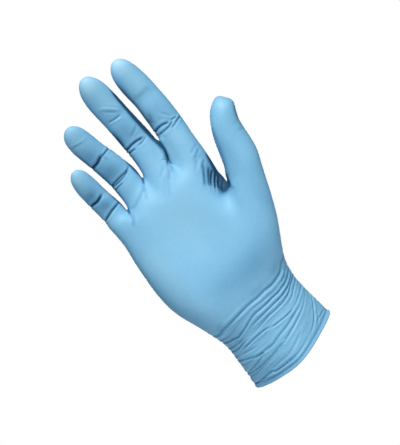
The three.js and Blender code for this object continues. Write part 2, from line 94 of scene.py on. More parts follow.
# Creases of the digits, the palm and the web, seen from the front. Each has its points (right, up), its
# width, its depth and the height of its lips, in mm. One with a depth under 0 is a raised fold.
CREASES = [
    # index finger
    ([(12.5, 170.8), (15, 171.7), (18, 172.2), (22, 171.8), (26, 170.6)], 0.75, 0.95, 0.40),
    ([(26.5, 171.2), (29, 171.0), (32, 170.7)], 0.6, 0.45, 0.25),
    ([(13.5, 167.4), (16, 168.1), (22, 168.3), (26, 169.3), (29, 170.2)], 0.65, 0.80, 0.45),
    ([(23.5, 166.4), (28, 167.6), (31, 168.8), (36, 170.4)], 0.65, 0.70, 0.45),
    ([(22.0, 179.8), (24, 177.0), (27.5, 172.6)], 0.6, -0.35, 0.0),
    ([(24.5, 180.0), (26.5, 177.0), (29.5, 173.4)], 0.6, 0.25, 0.15),
    ([(16.0, 166.0), (20, 165.6), (25, 166.2)], 0.7, -0.25, 0.0),
    ([(22.5, 141.0), (26, 142.3), (31, 145.2)], 0.7, 0.55, 0.40),
    ([(24.0, 145.0), (27, 146.6), (32, 148.6)], 0.7, 0.35, 0.25),
    ([(21.0, 139.0), (25, 140.2), (30, 141.2)], 0.8, 0.25, 0.15),
    ([(15.0, 176.0), (16.5, 180.0), (18.5, 184.0)], 1.4, 0.30, 0.10),
    ([(14.0, 197.5), (20, 196.0), (30, 197.0)], 1.5, 0.22, 0.10),
    # middle finger
    ([(-10.5, 172.6), (-7, 173.2), (-3, 173.8), (2, 173.6), (7.5, 172.6)], 0.80, 1.00, 0.45),
    ([(-10.5, 170.4), (-7, 170.4), (-2.5, 170.1)], 0.65, 0.75, 0.35),
    ([(-0.5, 170.4), (2.5, 170.8), (5, 171.4), (8, 172.6)], 0.60, 0.60, 0.35),
    ([(-9.0, 205.6), (-4.5, 204.0), (0, 201.0), (5, 195.8)], 0.65, -0.50, 0.0),
    ([(-6.0, 202.4), (-2.5, 200.0), (1.5, 196.6)], 0.70, 0.40, 0.10),
    ([(-1.5, 205.2), (2.5, 202.2), (6, 198.0)], 0.60, -0.30, 0.0),
    ([(-8.0, 194.6), (-5, 194.2), (-1, 193.8), (3, 194.2)], 0.65, 0.50, 0.0),
    ([(-8.0, 192.4), (-5, 192.9), (-2, 192.5), (3, 192.2)], 0.60, -0.40, 0.0),
    ([(-1.0, 178.2), (3, 180.0), (7.5, 182.2)], 0.80, 0.30, 0.25),
    # ring finger
    ([(-36.5, 177.2), (-31, 177.2), (-28, 178.0), (-25, 179.4), (-22, 179.6)], 1.00, 1.20, 0.45),
    ([(-24.0, 179.4), (-22, 179.8), (-19, 180.6), (-15.5, 181.9)], 0.60, 0.75, 0.40),
    ([(-24.0, 178.8), (-23, 177.0), (-22, 174.4)], 0.60, 0.35, 0.20),
    ([(-34.0, 159.9), (-27, 160.5), (-22, 161.2), (-17, 162.0), (-12.5, 164.0)], 0.65, 0.85, 0.35),
    ([(-33.0, 159.0), (-27, 158.9), (-22, 159.6), (-17, 161.0), (-13, 162.2)], 0.60, 0.70, 0.40),
    ([(-32.0, 156.2), (-27, 156.6), (-22.5, 157.1)], 0.60, 0.50, 0.25),
    ([(-40.0, 197.9), (-34, 196.1), (-29, 195.4), (-23, 196.2)], 0.60, -0.30, 0.0),
    ([(-37.5, 195.8), (-33, 194.8), (-28, 193.8)], 0.70, 0.35, 0.0),
    ([(-31.0, 139.4), (-27, 139.8), (-22, 141.8), (-16, 144.8), (-12.5, 147.4)], 0.90, 0.40, 0.25),
    # little finger
    ([(-53.0, 157.8), (-46, 157.2), (-43, 157.7), (-38, 159.6)], 0.90, 1.00, 0.50),
    ([(-51.0, 143.6), (-46, 144.8), (-41, 146.5), (-37, 147.4), (-32, 148.3)], 0.75, 0.90, 0.45),
    ([(-49.0, 142.4), (-44, 143.2), (-38, 145.0)], 0.60, -0.20, 0.0),
    # palm under the fingers
    ([(-5.5, 129.0), (-1, 136.0), (5, 145.0)], 1.3, 0.28, 0.12),
    ([(-8.0, 131.0), (-4, 137.0), (2, 145.0)], 1.2, 0.18, 0.10),
    ([(-3.0, 144.5), (1, 146.8), (6, 149.8)], 0.8, 0.28, 0.18),
    ([(7.4, 148.4), (5.4, 144.0), (2.5, 138.5)], 0.9, 0.35, 0.12),
    ([(-12.4, 149.0), (-14.5, 144.0), (-18.5, 138.0)], 0.9, 0.35, 0.12),
    ([(-31.8, 138.5), (-33.4, 133.5), (-36.5, 128.0)], 0.9, 0.40, 0.12),
    ([(-30.5, 137.5), (-32.0, 133.0), (-34.5, 129.0)], 0.8, 0.20, 0.10),
    # thumb
    ([(58.5, 139.6), (60.5, 138.4), (62.5, 138.0)], 0.9, 0.25, 0.10),
    ([(66.9, 153.4), (65.0, 148.6), (63.4, 143.0)], 1.0, 0.35, 0.15),
    # gathers of the web between thumb and index finger
    ([(18.5, 121.5), (21.4, 126.0), (24.2, 130.6), (27.5, 135.8)], 0.80, 0.80, 0.25),
    ([(21.0, 133.0), (24.0, 135.6), (27.8, 139.0)], 0.60, -0.45, 0.0),
    ([(19.5, 134.4), (23.0, 137.6), (26.0, 140.2)], 0.60, 0.30, 0.15),
    ([(24.0, 133.4), (27.0, 135.2), (30.0, 137.4)], 0.60, 0.45, 0.20),
    ([(20.6, 119.6), (22.6, 123.0), (25.6, 127.2), (29.2, 131.8)], 0.62, 1.00, 0.0),
    ([(18.6, 117.0), (21.4, 121.4), (24.2, 125.4), (28.8, 130.8)], 0.42, -0.50, 0.0),
    ([(22.4, 119.0), (24.4, 122.4), (27.0, 125.6), (30.0, 129.0)], 0.60, 1.10, 0.0),
    ([(20.6, 114.8), (23.6, 119.4), (25.8, 122.6), (29.4, 126.8)], 0.40, -0.55, 0.0),
    ([(23.6, 116.4), (26.0, 120.0), (28.4, 123.0), (31.2, 126.4)], 0.60, 1.15, 0.0),
    ([(22.0, 112.4), (25.0, 117.2), (27.2, 120.4), (30.2, 123.6)], 0.40, -0.50, 0.0),
    ([(25.6, 115.8), (28.0, 118.6), (30.4, 121.2), (32.2, 123.0)], 0.60, 1.10, 0.0),
    ([(27.4, 113.6), (29.6, 116.2), (31.6, 118.6)], 0.55, 0.90, 0.0),
]

# Folds of the cuff, seen from the front. Each has its points (right, up) in mm, the degrees that it runs on
# round the left and the right side, its width, its depth and the height of its lips, in mm.
CUFF_FOLDS = [
    ([(-34, 38.6), (-30, 38.9), (-20, 40.4), (-5, 42.3), (2, 42.3), (8, 42.9), (15, 43.5), (20, 45.0),
      (25, 47.6), (29, 51.0)], 60, 60, 0.95, 0.95, 0.75),
    ([(-33, 30.9), (-28, 30.3), (-24, 29.2), (-20, 30.0), (-15, 31.5), (-10, 33.5), (-5, 34.8),
      (0, 35.3), (10, 36.3), (15, 37.0), (20, 38.2), (24, 39.8), (29, 43.4)], 50, 50, 0.75, 0.95, 0.60),
    ([(-19, 28.4), (-10, 30.0), (-5, 30.8), (0, 31.5), (5, 32.0), (10, 32.8), (15, 33.4), (20, 35.0),
      (25, 38.0), (29, 41.6)], 0, 40, 0.65, 0.85, 0.55),
    ([(-17, 24.0), (-10, 25.5), (-5, 26.8), (0, 28.0), (5, 28.3), (10, 29.0), (15, 30.0), (20, 32.3),
      (25, 36.0), (30, 40.6)], 0, 40, 0.65, 0.75, 0.45),
    ([(-28, 20.4), (-22, 21.0), (-15, 22.0), (-8, 22.3), (-4, 21.8), (-1, 20.8)], 0, 0, 0.65, 0.75,
      0.45),
    ([(-4, 20.8), (2, 20.8), (6, 20.9), (12, 21.3), (18, 22.3)], 0, 0, 0.60, 0.70, 0.50),
    ([(14, 22.6), (20, 23.8), (26, 27.4), (31, 32.6)], 0, 40, 0.70, 0.50, 0.40),
    ([(-33, 15.8), (-28, 13.4), (-22, 11.5), (-14, 11.0), (-8, 11.4), (-2, 13.1), (5, 15.0), (10, 16.5),
      (15, 18.6), (22, 21.4), (28, 26.0)], 50, 0, 0.80, 0.75, 0.50),
    ([(-33, 12.8), (-27, 10.8), (-20, 8.8), (-12, 7.2), (-3, 7.0), (4, 7.8)], 40, 0, 0.80, 0.55, 0.35),
    ([(0, 9.0), (6, 10.4), (12, 13.0), (18, 16.4), (24, 20.4), (30, 26.4)], 0, 40, 0.75, 0.65, 0.45),
    ([(-31, 4.6), (-27, -0.4), (-23, -2.9), (-18, -3.9), (-10, -4.2), (-4, -4.1), (2, -3.4), (8, -1.4),
      (13, 1.0), (18, 3.6)], 0, 0, 0.80, 0.80, 0.50),
    ([(14, 0.6), (20, 4.4), (24, 8.4), (28, 14.0), (31, 20.0)], 0, 30, 0.75, 0.70, 0.50),
    ([(-21, -2.2), (-12, -1.4), (-4, -0.2), (3, 2.2), (9, 5.6), (14, 9.0)], 0, 0, 0.80, 0.35, 0.25),
    ([(20, 1.2), (24, 5.6), (28, 11.0), (32, 18.0)], 0, 20, 0.60, 0.50, 0.40),
    ([(23, 2.4), (26.5, 7.2), (29.5, 12.4)], 0, 0, 0.70, 0.25, 0.20),
    ([(13, 26.2), (20, 28.6), (26, 33.0), (31, 38.6)], 0, 40, 0.65, 0.45, 0.35),
    ([(17, 40.8), (22, 42.4), (29, 46.8)], 0, 40, 0.60, 0.55, 0.40),
    ([(-10, 38.0), (0, 38.8), (10, 39.2), (18, 40.4)], 0, 0, 0.70, 0.30, 0.25),
    ([(-33, 26.6), (-29, 25.6), (-24, 25.8), (-19, 26.4)], 40, 0, 0.65, 0.65, 0.45),
    ([(-33, 23.4), (-29, 22.6), (-24, 23.4), (-18, 24.2)], 40, 0, 0.65, 0.70, 0.45),
    ([(-33, 34.2), (-29, 34.0), (-22, 34.8), (-14, 36.6)], 40, 0, 0.70, 0.40, 0.30),
    ([(-33, 19.2), (-29, 18.2), (-22, 17.0), (-14, 16.6)], 40, 0, 0.70, 0.40, 0.30),
    ([(-29, -2.8), (-24, -5.2), (-17, -6.4), (-8, -6.6)], 0, 0, 0.70, 0.25, 0.20),
]

# Folds of the back of the cuff. Each has its points (degrees round from the thumb side, height over the rim
# in mm), its width, its depth and the height of its lips, in mm.
BACK_FOLDS = [
    ([(196, 12), (225, 9.0), (255, 9.5), (290, 12), (335, 16)], 1.1, 0.80, 0.45),
    ([(205, 17), (235, 15), (270, 17.5), (300, 18), (345, 22)], 1.0, 0.70, 0.40),
    ([(190, 23), (220, 22), (250, 24.5), (275, 24), (300, 26), (340, 30)], 1.0, 0.80, 0.50),
    ([(225, 28), (250, 30), (280, 29.5), (320, 33)], 0.9, 0.65, 0.45),
    ([(200, 33), (235, 35.5), (265, 35), (300, 38), (335, 41)], 1.0, 0.70, 0.45),
    ([(240, 40), (270, 41), (310, 45)], 1.1, 0.55, 0.35),
    ([(215, 5.6), (250, 5.0), (285, 6.4), (320, 8.6)], 0.9, 0.45, 0.30),
    ([(285, 21), (315, 25), (350, 30)], 0.8, 0.50, 0.35),
    ([(300, 11), (330, 17), (356, 24)], 0.8, 0.50, 0.35),
]

# Pockets of the film, and patches of painted shade and painted light. Each has its middle (right, up) and
# its reach along and across in mm, the slope of its length in degrees, its depth in mm, and how dark its
# painted shade is. Under 0 it is painted light instead, lighter than the film.
POCKETS_AND_PAINTED_PATCHES = [
    # web between thumb and index finger
    ((28.4, 120.5), (10.5, 6.0), 66, 0.8, 0.55),
    ((30.2, 116.2), (6.6, 4.0), 60, 1.0, 1.30),
    ((27.0, 127.0), (10.0, 6.0), 66, 0.0, 0.34),
    ((26.5, 113.0), (6.0, 3.6), 10, 0.0, 0.30),
    # thumb
    ((61.0, 160.0), (7.0, 6.0), 0, 0.0, -0.25),
    ((44.0, 132.0), (6.0, 19.0), 0, 0.0, 0.20),
    ((52.0, 113.0), (9.0, 10.0), 0, 0.0, 0.10),
    # index finger
    ((21.5, 222.0), (9.5, 10.0), 0, 0.0, -0.75),
    ((24.0, 206.0), (6.0, 12.0), 0, 0.0, -0.30),
    ((14.5, 204.0), (2.6, 14.0), 0, 0.0, 0.25),
    ((24.0, 182.0), (10.0, 10.0), 0, 0.0, 0.16),
    ((16.5, 178.0), (3.4, 10.0), 0, 0.0, 0.30),
    ((24.0, 158.0), (9.0, 9.0), 0, 0.0, -0.22),
    # middle finger
    ((-3.0, 223.0), (9.5, 9.0), 0, 0.0, -0.70),
    ((0.0, 208.0), (5.0, 9.0), 0, 0.0, -0.20),
    ((-1.0, 184.0), (10.0, 11.0), 0, 0.0, 0.38),
    ((-8.4, 181.0), (2.4, 9.0), 0, 0.2, 0.50),
    ((2.0, 156.0), (8.0, 8.0), 0, 0.0, -0.14),
    # ring finger
    ((-31.0, 203.0), (8.5, 7.0), 0, 0.0, -0.20),
    ((-30.0, 183.0), (8.0, 8.5), 0, 0.2, 0.40),
    ((-26.0, 168.0), (10.0, 9.0), 0, 0.0, 0.58),
    ((-24.0, 151.0), (8.0, 6.0), 0, 0.0, 0.10),
    # little finger
    ((-46.0, 178.0), (7.5, 7.0), 0, 0.0, -0.50),
    ((-46.0, 162.0), (7.0, 6.0), 20, 0.3, 0.60),
    ((-42.0, 152.0), (8.0, 5.4), 0, 0.0, 0.62),
    # palm
    ((-10.0, 138.0), (9.0, 8.0), 0, 0.0, 0.10),
    ((-8.0, 116.0), (26.0, 26.0), 0, 0.0, -0.25),
    ((-38.0, 88.0), (9.0, 36.0), 0, 0.0, -0.20),
    ((46.0, 92.0), (6.0, 22.0), 12, 0.0, 0.14),
    # wrist and cuff
    ((15.0, 62.0), (26.0, 13.0), 18, 0.0, 0.36),
    ((-10.0, 62.0), (16.0, 12.0), 0, 0.0, 0.20),
    ((-32.0, 58.0), (8.0, 14.0), 0, 0.0, -0.12),
    ((24.0, 50.0), (9.0, 4.0), 35, 0.6, 0.25),
    ((4.0, 45.5), (14.0, 2.6), 4, 0.4, 0.25),
    ((-31.0, 41.0), (5.0, 2.6), 10, 0.3, 0.25),
    ((-33.0, 16.0), (7.0, 22.0), 0, 0.0, -0.35),
]

# Painted shadow lines where two parts of the film meet and along flanks turned from the light: points
# (right, up, width) in mm, and how dark they look
SHADOW_LINES = [
    ([(7.2, 216, 0.8), (7.8, 205, 1.2), (8.5, 197, 1.5), (9.2, 190, 1.7), (9.9, 183, 2.0),
      (10.4, 176, 2.2), (11.0, 170, 2.3), (11.5, 164, 2.2), (11.6, 160, 2.1), (11.1, 156, 1.8),
      (9.8, 152.5, 1.5), (8.0, 149.0, 1.2), (6.6, 146.0, 0.8)], 1.35),
    ([(-12.8, 172, 0.8), (-11.9, 160, 1.2), (-11.0, 154, 1.4), (-11.5, 151, 1.2), (-13.4, 147, 0.8)],
      0.95),
    ([(-35.8, 167, 0.8), (-33.8, 155, 1.1), (-32.4, 147, 1.3), (-31.6, 142, 1.3), (-32.4, 136, 0.9)],
      0.95),
    ([(-39.4, 198, 0.9), (-36.4, 185, 1.3), (-33.6, 172, 1.5), (-31.4, 160, 1.4), (-30.4, 148, 1.0)],
      0.60),
    ([(-13.0, 216, 0.8), (-11.2, 195, 1.3), (-9.8, 182, 1.6), (-8.8, 168, 1.5), (-9.4, 156, 1.0)],
      0.60),
    ([(12.2, 216, 1.0), (13.2, 203, 1.3), (14.2, 190, 1.3), (13.8, 176, 1.3), (13.0, 168, 1.0)], 0.50),
    ([(-52.0, 172, 0.8), (-53.0, 160, 1.2), (-51.0, 148, 1.2), (-49.0, 138, 0.8)], 0.35),
    ([(32.6, 142, 0.8), (31.9, 130, 1.6), (31.9, 121, 2.0), (31.6, 114, 1.8), (30.0, 112, 1.2)], 0.90),
    ([(47.0, 153, 1.2), (42.8, 143.5, 2.0), (40.2, 135, 2.4), (37.6, 127, 2.4), (33.6, 117, 1.6)],
      0.42),
    ([(68.0, 157, 1.0), (65.4, 149.5, 1.6), (63.4, 143, 1.5), (62.8, 134, 1.0)], 0.30),
]

# The line along which the index and the middle finger touch near their feet: points (right, up) in mm
TOUCH_LINE = [(9.0, 145.0), (9.4, 149.8), (10.2, 152.5), (11.3, 156.0), (12.3, 160.0), (12.9, 164.5),
              (13.0, 168.0)]

# The middle of the gap between thumb and index finger near its foot: points (right, up) in mm
WEB_GAP = [(32.5, 115.0), (32.9, 118.5), (34.8, 128.0)]


class GloveFilmSettings(bpy.types.PropertyGroup):
    """Sizes and colours of the film, with the colours of its painted shade and painted light"""

    crease_depth: FloatProperty(
        name="Crease depth", description="How deep the creases of digits and palm are, as a share",
        default=1.0, min=0.0, max=2.0, subtype="FACTOR")
    fold_depth: FloatProperty(
        name="Cuff fold depth", description="How deep the folds of the cuff are, as a share",
        default=0.9, min=0.0, max=2.0, subtype="FACTOR")
    wrinkle_height: FloatProperty(
        name="Wrinkle height", description="Height of the small wrinkles between the cuff's folds",
        default=0.00012, min=0.0, max=0.001, unit="LENGTH")
    film_colour: FloatVectorProperty(
        name="Film colour", description="Colour of the nitrile film",
        default=(0.258, 0.565, 0.79), min=0.0, max=1.0, size=3, subtype="COLOR")
    # Painted shade: the colours laid on the film in its creases, folds and shadow lines, lighter where
    # shallow and darker deep in
    shade_colour: FloatVectorProperty(
        name="Shade colour", description="Colour of the film in the shade of a shallow fold",
        default=(0.035, 0.21, 0.43), min=0.0, max=1.0, size=3, subtype="COLOR")
    fold_shadow_colour: FloatVectorProperty(
        name="Fold shadow colour", description="Colour of the film deep in its folds",
        default=(0.004, 0.050, 0.115), min=0.0, max=1.0, size=3, subtype="COLOR")
    # Painted light: the lighter colour laid on lit fingertips, raised folds and lit patches of the film
    painted_light_colour: FloatVectorProperty(
        name="Painted light colour", description="Colour of the film where a fingertip stretches it",
        default=(0.50, 0.80, 0.97), min=0.0, max=1.0, size=3, subtype="COLOR")
    grain_size: FloatProperty(
        name="Grain size", description="Size of the film's fine surface grain",
        default=0.0007, min=0.0002, max=0.005, unit="LENGTH")


class GloveStageSettings(bpy.types.PropertyGroup):
    """Sizes and lights of the stage"""

    camera_roll: FloatProperty(
        name="Camera roll", description="How far the camera leans, so that the glove lies aslant",
        default=math.radians(37.0), unit="ROTATION")
    camera_lens: FloatProperty(
        name="Camera lens", description="Focal length of the camera, in mm",
        default=300.0, min=35.0, max=400.0, unit="CAMERA")
    frame_height: FloatProperty(
        name="Frame height", description="Height of the picture at the glove",
        default=0.29667, unit="LENGTH")
    floor_radius: FloatProperty(
        name="Floor radius", description="Radius of the round floor",
        default=0.8, unit="LENGTH")
    floor_drop: FloatProperty(
        name="Floor drop", description="How far the floor lies under the rim",
        default=0.2, unit="LENGTH")
    floor_colour: FloatVectorProperty(
        name="Floor colour", description="Colour of the floor",
        default=(0.86, 0.86, 0.86), min=0.0, max=1.0, size=3, subtype="COLOR")
    key_power: FloatProperty(
        name="Key light", description="Power of the large soft light in front, in watts",
        default=35.0, min=0.0, unit="POWER")
    fill_strength: FloatProperty(
        name="Fill light", description="Strength of the light from all round",
        default=0.24, min=0.0)
    fill_colour: FloatVectorProperty(
        name="Fill colour", description="Colour of the light from all round",
        default=(0.46, 0.76, 1.0), min=0.0, max=1.0, size=3, subtype="COLOR")


def smooth_step(value):
    """A soft ramp from 0 to 1"""
    t = np.clip(value, 0.0, 1.0)
    return t * t * (3.0 - 2.0 * t)


def between(value, low, low_fade, high, high_fade):
    """1 between two limits, with a soft ramp down to 0 at each"""
    return smooth_step((value - low) / low_fade) * smooth_step((high - value) / high_fade)


def facing_front(outwards, limit, fade):
    """1 where the film faces the front, with a soft ramp down to 0 where it turns to the back"""
    return smooth_step((limit - outwards[:, 1]) / fade)


def measure_to_line(across, up, line):
    """Distance of each place from a bent line, its side of the line, and how far along it lies"""
    corners = np.array(line, float)
    runs = np.diff(corners, axis=0)
    lengths = np.hypot(runs[:, 0], runs[:, 1])
    starts = np.concatenate(([0.0], np.cumsum(lengths)))
    distance = np.full(len(across), 1e9)
    side = np.zeros(len(across))
    along = np.zeros(len(across))
    for k, (run_x, run_z) in enumerate(runs):
        from_x = across - corners[k, 0]
        from_z = up - corners[k, 1]
        share = np.clip((from_x * run_x + from_z * run_z) / lengths[k] ** 2, 0.0, 1.0)
        off_x = from_x - share * run_x
        off_z = from_z - share * run_z
        reach = np.hypot(off_x, off_z)
        nearer = reach < distance
        distance = np.where(nearer, reach, distance)
        side = np.where(nearer, np.sign(run_x * off_z - run_z * off_x), side)
        along = np.where(nearer, (starts[k] + share * lengths[k]) / starts[-1], along)
    return distance, side, along


def bend_line(line, steps=6):
    """The same line with smooth bends instead of corners"""
    corners = np.array(line, float)
    if len(corners) < 3:
        return corners
    padded = np.vstack((2 * corners[0] - corners[1], corners, 2 * corners[-1] - corners[-2]))
    places = []
    for k in range(1, len(padded) - 2):
        before, here, after, beyond = padded[k - 1:k + 3]
        for step in range(steps):
            t = step / steps
            places.append(0.5 * (2 * here + (after - before) * t
                                 + (2 * before - 5 * here + 4 * after - beyond) * t * t
                                 + (3 * here - before - 3 * after + beyond) * t ** 3))
    places.append(corners[-1])
    return np.array(places)


def press_line(across, up, inner, line, width, depth, lips):
    """How far a crease moves each place outwards, and how deep in the crease the place lies.
    The inner skin takes a wider, plainer trough, so that it stays behind the outer one."""
    distance, side, along = measure_to_line(across, up, bend_line(line))
    end_fade = 0.22
    ends = between(along, 0.0, end_fade, 1.0, end_fade)
    valley = ends * np.exp(-((distance / width) ** 2))
    lip_place = 2.1 * width
    lip_width = 1.25 * width
    lip = ends * np.exp(-(((distance - lip_place) / lip_width) ** 2))
    outer_move = lips * lip * (0.8 + 0.2 * side) - depth * valley
    trough_fade = 0.1
    trough_width = 2.4 * width
    trough = between(along, 0.0, trough_fade, 1.0, trough_fade) * np.exp(-((distance / trough_width) ** 4))
    return np.where(inner, -max(depth, 0.0) * trough, outer_move), valley


def quads_of_glove(node):
    """A copy of the glove's solid, merged and made into four-sided faces"""
    bm = bmesh.new()
    bm.from_mesh(node.data)
    bmesh.ops.remove_doubles(bm, verts=bm.verts, dist=0.01 * MM)
    bmesh.ops.join_triangles(bm, faces=bm.faces, angle_face_threshold=math.radians(80),
                             angle_shape_threshold=math.radians(170))
    return bm


def mark_inside(bm):
    """Gives the faces of the glove's inner skin material 1, and all others material 0"""
    bm.faces.ensure_lookup_table()
    for face in bm.faces:
        above = face.calc_center_median().dot(RIM_UP) / MM
        face.material_index = 1 if above > BEAD_HEIGHT else 0
    top = max(bm.faces, key=lambda face: face.calc_center_median().z)
    waiting = [top]
    top.material_index = 0
    while waiting:
        face = waiting.pop()
        for edge in face.edges:
            for near in edge.link_faces:
                if near.material_index == 1:
                    near.material_index = 0
                    waiting.append(near)


def round_off(bm, name):
    """One level of Catmull-Clark rounding over the whole net"""
    mesh = bpy.data.meshes.new(name + "_net")
    bm.to_mesh(mesh)
    bm.free()
    holder = bpy.data.objects.new(name + "_net", mesh)
    bpy.context.scene.collection.objects.link(holder)
    rounding = holder.modifiers.new("Rounding", "SUBSURF")
    rounding.levels = 1
    rounding.render_levels = 1
    seen = holder.evaluated_get(bpy.context.evaluated_depsgraph_get())
    rounded = bpy.data.meshes.new_from_object(seen)
    bpy.data.objects.remove(holder)
    bpy.data.meshes.remove(mesh)
    fine = bmesh.new()
    fine.from_mesh(rounded)
    bpy.data.meshes.remove(rounded)
    return fine


def ease(bm, verts, passes):
    """Evens out the given points with their neighbours"""
    for _ in range(passes):
        bmesh.ops.smooth_vert(bm, verts=verts, factor=0.5, use_axis_x=True, use_axis_y=True, use_axis_z=True)


def split_finer(bm, wanted):
    """Splits the wanted outer faces into four, and eases the new points"""
    faces = [face for face in bm.faces if face.material_index == 0 and wanted(face)]
    edges = list({edge for face in faces for edge in face.edges})
    made = bmesh.ops.subdivide_edges(bm, edges=edges, cuts=1, use_grid_fill=True)
    ease(bm, [item for item in made["geom_inner"] if isinstance(item, bmesh.types.BMVert)], 2)


def is_outside(vert):
    """Whether a point lies on the outer skin"""
    return all(face.material_index == 0 for face in vert.link_faces)


def ease_cuff(bm):
    """Evens out the cuff's net, so that its folds start from a smooth sleeve"""
    cuff_start = 5.5
    cuff_end = 52.0
    ease(bm, [vert for vert in bm.verts if cuff_start < vert.co.dot(RIM_UP) / MM < cuff_end], 10)


def ease_flanks(bm):
    """Takes the small steps out of the outer skin above the cuff"""
    palm_start = 0.055
    ease(bm, [vert for vert in bm.verts if vert.co.z > palm_start and is_outside(vert)], 2)


def ease_gap_foot(bm):
    """Softens the film at the foot of the gap between index and middle finger"""
    gap_right = 8.5
    reach = 3.5
    foot_height = 143.0
    top_height = 149.5
    foot = [vert for vert in bm.verts
            if abs(vert.co.x / MM - gap_right) < reach
            and foot_height < vert.co.z / MM < top_height and is_outside(vert)]
    ease(bm, foot, 4)


def needs_detail(face):
    """Whether a face lies where the film is creased or gathered, on the palm side"""
    side_limit = 0.25
    cuff_top = 47.0
    middle = face.calc_center_median() / MM
    if face.normal.y > side_limit:
        return False
    if middle.z < cuff_top:
        return True
    for line, width, _, _ in CREASES:
        low_x = min(point[0] for point in line) - 2.5 * width
        high_x = max(point[0] for point in line) + 2.5 * width
        low_z = min(point[1] for point in line) - 3.0 * width
        high_z = max(point[1] for point in line) + 3.0 * width
        if low_x < middle.x < high_x and low_z < middle.z < high_z:
            return True
    return False


def sleeve_middle(up):
    """The sleeve's middle, front to back, at each height in mm"""
    still_to_go = np.clip(1.0 - up / SLEEVE_HEIGHT, 0.0, None)
    return SLEEVE_FORWARD * (still_to_go ** 2 - 1.0)


def close_touch(place, outwards):
    """Brings the flanks of index and middle finger together where they touch"""
    foot_height = 143.0
    wide_height = 160.0
    top_height = 167.0
    half_gap = 0.12
    line = bend_line(TOUCH_LINE)
    order = np.argsort(line[:, 1])
    middle = np.interp(place[:, 2], line[order, 1], line[order, 0])
    off = place[:, 0] - middle
    reach = 3.2 + 1.8 * smooth_step((wide_height - place[:, 2]) / 8.0)
    sideways = smooth_step(np.abs(outwards[:, 0]) / 0.35)
    near = between(place[:, 2], foot_height, 4.0, top_height, 2.5) * np.exp(-((off / reach) ** 6))
    place[:, 0] += near * sideways * (middle - half_gap * np.sign(off) - place[:, 0])


def sharpen_web(place):
    """Draws the foot of the gap between thumb and index finger together into a point"""
    foot_height = 109.0
    top_height = 126.0
    reach = 3.4
    draw = 0.72
    line = np.array(WEB_GAP)
    off = place[:, 0] - np.interp(place[:, 2], line[:, 1], line[:, 0])
    share = draw * between(place[:, 2], foot_height, 4.0, top_height, 7.0)
    place[:, 0] -= share * off * np.exp(-((off / reach) ** 4))


def pinch_rim(place):
    """Pinches the flared rim a little at its two sides, as where a flat glove was folded, and lowers it"""
    half_width = 35.0
    half_depth = 29.0
    rim_left = 0.4
    pinch = 0.24
    pinch_top = 24.0
    drop_top = 18.0
    height = place @ np.array(RIM_UP[:])
    across = place[:, 0] + rim_left
    behind = place[:, 1] - sleeve_middle(place[:, 2])
    turn = np.arctan2(behind / half_depth, across / half_width)
    power = 1.0 + pinch * smooth_step((pinch_top - height) / 20.0)
    size = (np.abs(np.cos(turn)) ** (2.0 / power) + np.abs(np.sin(turn)) ** (2.0 / power)) ** (-power / 2.0)
    near = height < 30.0
    move_x = ((size - 1.0) * across)[near]
    move_y = ((size - 1.0) * behind)[near]
    place[near, 0] += move_x
    place[near, 1] += move_y
    place[near, 2] -= (move_x * RIM_UP.x + move_y * RIM_UP.y) / RIM_UP.z
    drop = 0.5 + 1.1 * np.clip(np.abs(place[:, 0]) / half_width, 0.0, 1.0) ** 3
    place[:, 2] -= drop * smooth_step((drop_top - height) / drop_top)


def press_front(place, outwards, inner, crease_depth):
    """The creases, pockets and painted shadow lines of the palm side: how far each place moves, and its
    painted shade and painted light
    """
    x = place[:, 0]
    z = place[:, 2]
    move = np.zeros(len(place))
    shade = np.zeros(len(place))
    front = facing_front(outwards, 0.30, 0.55)
    for line, width, depth, lips in CREASES:
        shift, valley = press_line(x, z, inner, line, width, depth, lips)
        move += crease_depth * front * shift
        # Painted shade in each crease for its depth, and a painted highlight along each raised fold
        shade += (CREASE_SHADE if depth > 0.0 else RAISED_HIGHLIGHT) * front * valley * np.clip(depth, -1.0, 1.0)
    patch_fall = 1.6
    for (middle_x, middle_z), (length, breadth), slope, depth, dark in POCKETS_AND_PAINTED_PATCHES:
        turn = math.radians(slope)
        along = ((x - middle_x) * math.cos(turn) + (z - middle_z) * math.sin(turn)) / length
        across = ((z - middle_z) * math.cos(turn) - (x - middle_x) * math.sin(turn)) / breadth
        patch_weight = front * np.exp(-(along ** 2 + across ** 2) * patch_fall)
        # Each pocket sinks by its depth; its patch is painted darker as painted shade, or lighter as painted
        # light under 0
        move -= depth * patch_weight
        shade += dark * patch_weight
    # Painted shadow along each shadow line, fading where the film turns to the back
    flanks = facing_front(outwards, 0.75, 0.5)
    for line, dark in SHADOW_LINES:
        widths = [point[2] for point in line]
        distance, _, along = measure_to_line(x, z, bend_line([point[:2] for point in line]))
        width = np.interp(along, np.linspace(0.0, 1.0, len(widths)), widths)
        ends = between(along, 0.0, 0.15, 1.0, 0.1)
        shade += dark * ends * np.exp(-((distance / width) ** 3)) * flanks
    return move, shade


def cuff_places(place, outwards):
    """Each place's degrees round from the thumb side, its height over the rim, and its share of folds"""
    x, y, z = place.T
    behind = y - sleeve_middle(z)
    round_angle = np.degrees(np.arctan2(-behind / SLEEVE_DEPTH, x + SLEEVE_LEFT)) % 360.0
    height = place @ np.array(RIM_UP[:])
    edge_on = smooth_step((0.35 - np.abs(outwards[:, 1])) / 0.35)
    cuff = between(height, 2.4, 1.6, 64.0, 10.0) * (1.0 - 0.6 * edge_on)
    return round_angle, height, cuff


def run_on(run, left, right):
    """Carries a fold on round the left and the right side, by so many degrees"""
    if left:
        run.insert(0, (run[0][0] + 0.45 * left, run[0][1] - 0.6))
        run.insert(0, (run[0][0] + 0.55 * left, run[0][1] + 0.4))
    if right:
        run.append((run[-1][0] - 0.45 * right, run[-1][1] + 1.2))
        run.append((run[-1][0] - 0.55 * right, run[-1][1] - 0.8))


